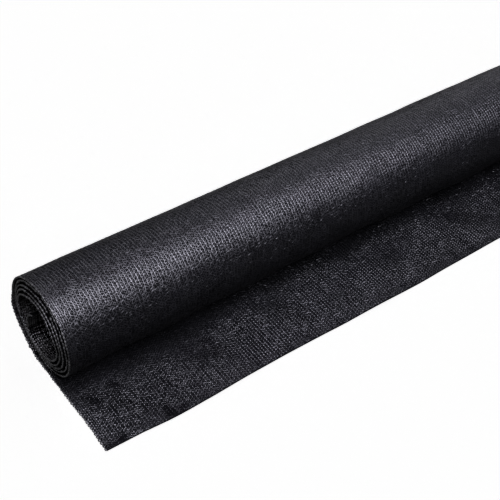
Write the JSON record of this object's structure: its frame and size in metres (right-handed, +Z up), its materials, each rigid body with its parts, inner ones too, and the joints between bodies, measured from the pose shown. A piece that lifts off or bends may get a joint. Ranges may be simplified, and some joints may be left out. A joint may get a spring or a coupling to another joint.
{
  "type": "roll of shade cloth",
  "caption": "Partly unrolled roll of black knitted shade cloth, wound loosely round a hollow middle, with its outer end lying flat in front of it.",
  "frame": {"origin": "on the floor, under the centre of the whole part's box", "axes": "+X along the roll, away from the end that the picture shows; +Z up; the loose end points to -Y"},
  "size_m": [1.0034, 0.162, 0.0992],
  "materials": {
    "black_knit": "openwork tape knit with a soft, slightly sparkling sheen"
  },
  "bodies": {
    "root": {"shade_cloth": "black_knit"}
  },
  "joints": []
}
